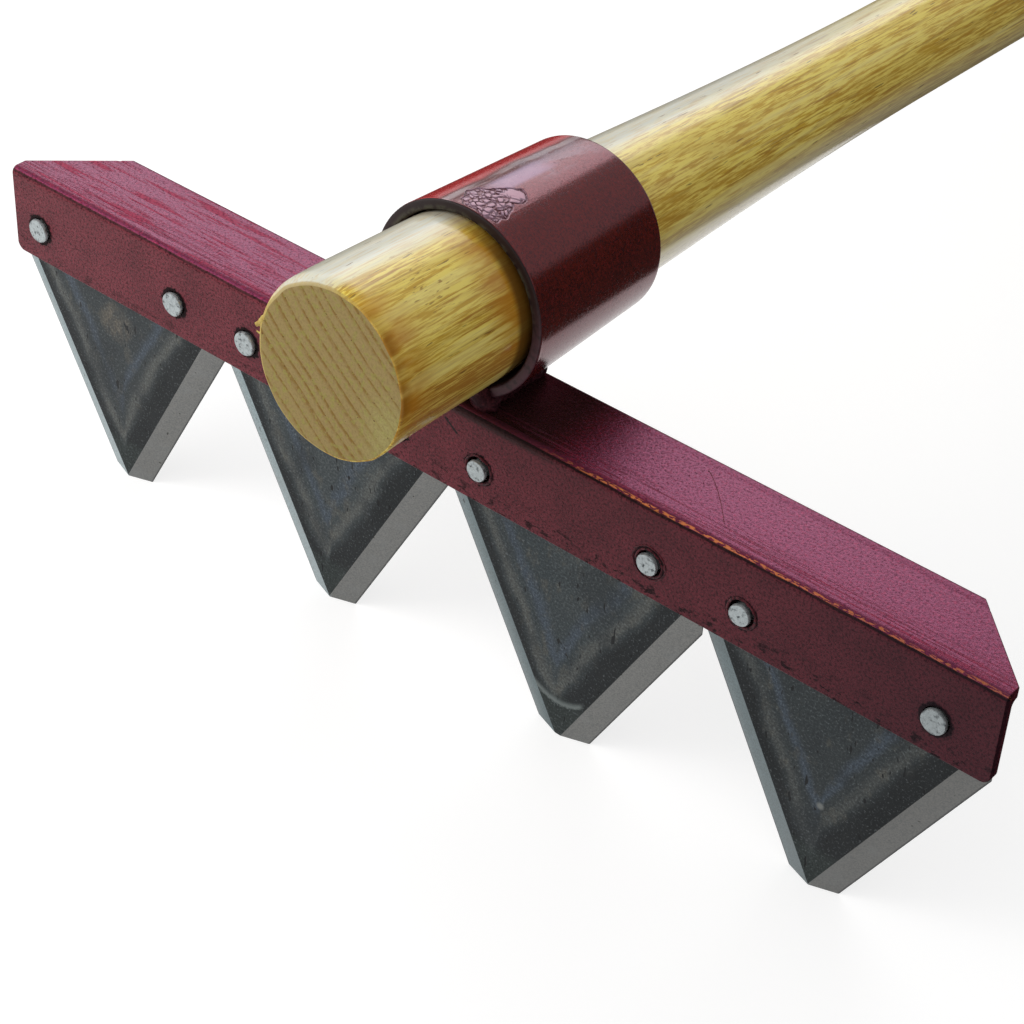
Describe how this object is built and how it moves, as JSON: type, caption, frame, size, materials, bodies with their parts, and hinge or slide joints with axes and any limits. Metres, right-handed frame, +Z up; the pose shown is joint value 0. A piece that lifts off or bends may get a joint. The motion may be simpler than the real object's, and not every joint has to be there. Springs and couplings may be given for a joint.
{
  "type": "fire rake",
  "caption": "Long-handled fire rake: ground triangular knife sections riveted to a steel angle, with a welded taper eye on a turned ash handle.",
  "frame": {"origin": "centre of the rake's bounding box, on the floor that its tooth tips and the butt of its handle rest on", "axes": "+X along the angle bar, +Y from the head to the grip end of the handle, +Z up, with the teeth pointing down"},
  "size_m": [0.3066, 1.5226, 0.1341],
  "materials": {
    "maroon_paint": "glossy maroon enamel, worn along the front bend",
    "blade_steel": "dark heat-treated steel with ground bevels",
    "rivet_steel": "bright hammered steel",
    "ash_wood": "clear lacquer over turned ash, bare at the sawn end"
  },
  "bodies": {
    "handle": {"handle": "ash_wood"},
    "head": {"collar": "maroon_paint", "weld_bead_left": "maroon_paint", "weld_bead_right": "maroon_paint", "angle_bar": "maroon_paint", "knife_section_1": "blade_steel", "knife_section_2": "blade_steel", "knife_section_3": "blade_steel", "knife_section_4": "blade_steel", "rivet_1": "rivet_steel", "rivet_2": "rivet_steel", "rivet_3": "rivet_steel", "rivet_4": "rivet_steel", "rivet_5": "rivet_steel", "rivet_6": "rivet_steel", "rivet_7": "rivet_steel", "rivet_8": "rivet_steel"}
  },
  "joints": [
    {"name": "head_slide", "type": "slide", "parent": "handle", "child": "head", "axis": [-0.0113, 0.9979, -0.0641], "range_m": [0, 1.42]}
  ]
}
